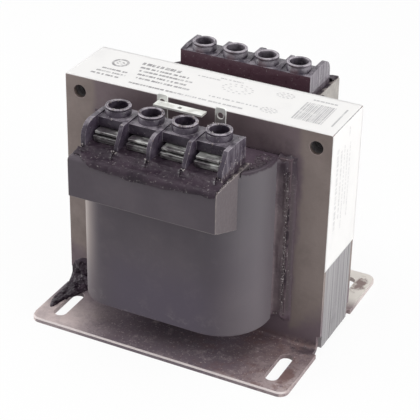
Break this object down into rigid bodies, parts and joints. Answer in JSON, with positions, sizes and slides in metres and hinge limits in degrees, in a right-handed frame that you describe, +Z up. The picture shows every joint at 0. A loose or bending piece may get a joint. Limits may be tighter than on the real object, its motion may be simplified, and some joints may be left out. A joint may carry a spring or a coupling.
{
  "type": "control transformer",
  "caption": "Open-frame control transformer: laminated core in slotted sheet-steel feet, wrapped coil, and a barrier terminal block with screw collars at each end.",
  "frame": {"origin": "middle of the mounting feet, on the surface they stand on", "axes": "+Z up, +X along the core's width with the label's drop at +X, -Y towards the front terminal block"},
  "size_m": [0.1144, 0.1146, 0.1004],
  "materials": {
    "lamination": "sheared steel edges under thin varnish",
    "frame_steel": "sheet steel under brown varnish",
    "pressboard": "varnished insulating board",
    "winding": "enamelled wire soaked in dark varnish",
    "coil_wrap": "smooth grey insulating wrap",
    "tray": "smooth grey moulding",
    "block": "black phenolic moulding",
    "label": "white sheet with plain ruled marks",
    "strap": "bright tinned metal",
    "clip": "pale tinned sheet",
    "clamp": "zinc plated",
    "screw": "plated steel, dull"
  },
  "bodies": {
    "root": {"coil_winding": "winding", "core_e_stack": "lamination", "core_i_stack": "lamination", "front_coil_wrap": "coil_wrap", "front_end_frame": "frame_steel", "front_plate_1": "clamp", "front_plate_2": "clamp", "front_plate_3": "clamp", "front_plate_4": "clamp", "front_saddle_1": "clamp", "front_saddle_2": "clamp", "front_saddle_3": "clamp", "front_saddle_4": "clamp", "front_screw_1": "screw", "front_screw_2": "screw", "front_screw_3": "screw", "front_screw_4": "screw", "front_terminal_block": "block", "front_terminal_tray": "tray", "left_link_clip": "clip", "left_window_liner": "pressboard", "link_strap": "strap", "rating_label": "label", "rear_coil_wrap": "coil_wrap", "rear_end_frame": "frame_steel", "rear_plate_1": "clamp", "rear_plate_2": "clamp", "rear_plate_3": "clamp", "rear_plate_4": "clamp", "rear_saddle_1": "clamp", "rear_saddle_2": "clamp", "rear_saddle_3": "clamp", "rear_saddle_4": "clamp", "rear_screw_1": "screw", "rear_screw_2": "screw", "rear_screw_3": "screw", "rear_screw_4": "screw", "rear_terminal_block": "block", "rear_terminal_tray": "tray", "right_link_clip": "clip", "right_window_liner": "pressboard", "winding_tube": "pressboard"}
  },
  "joints": []
}
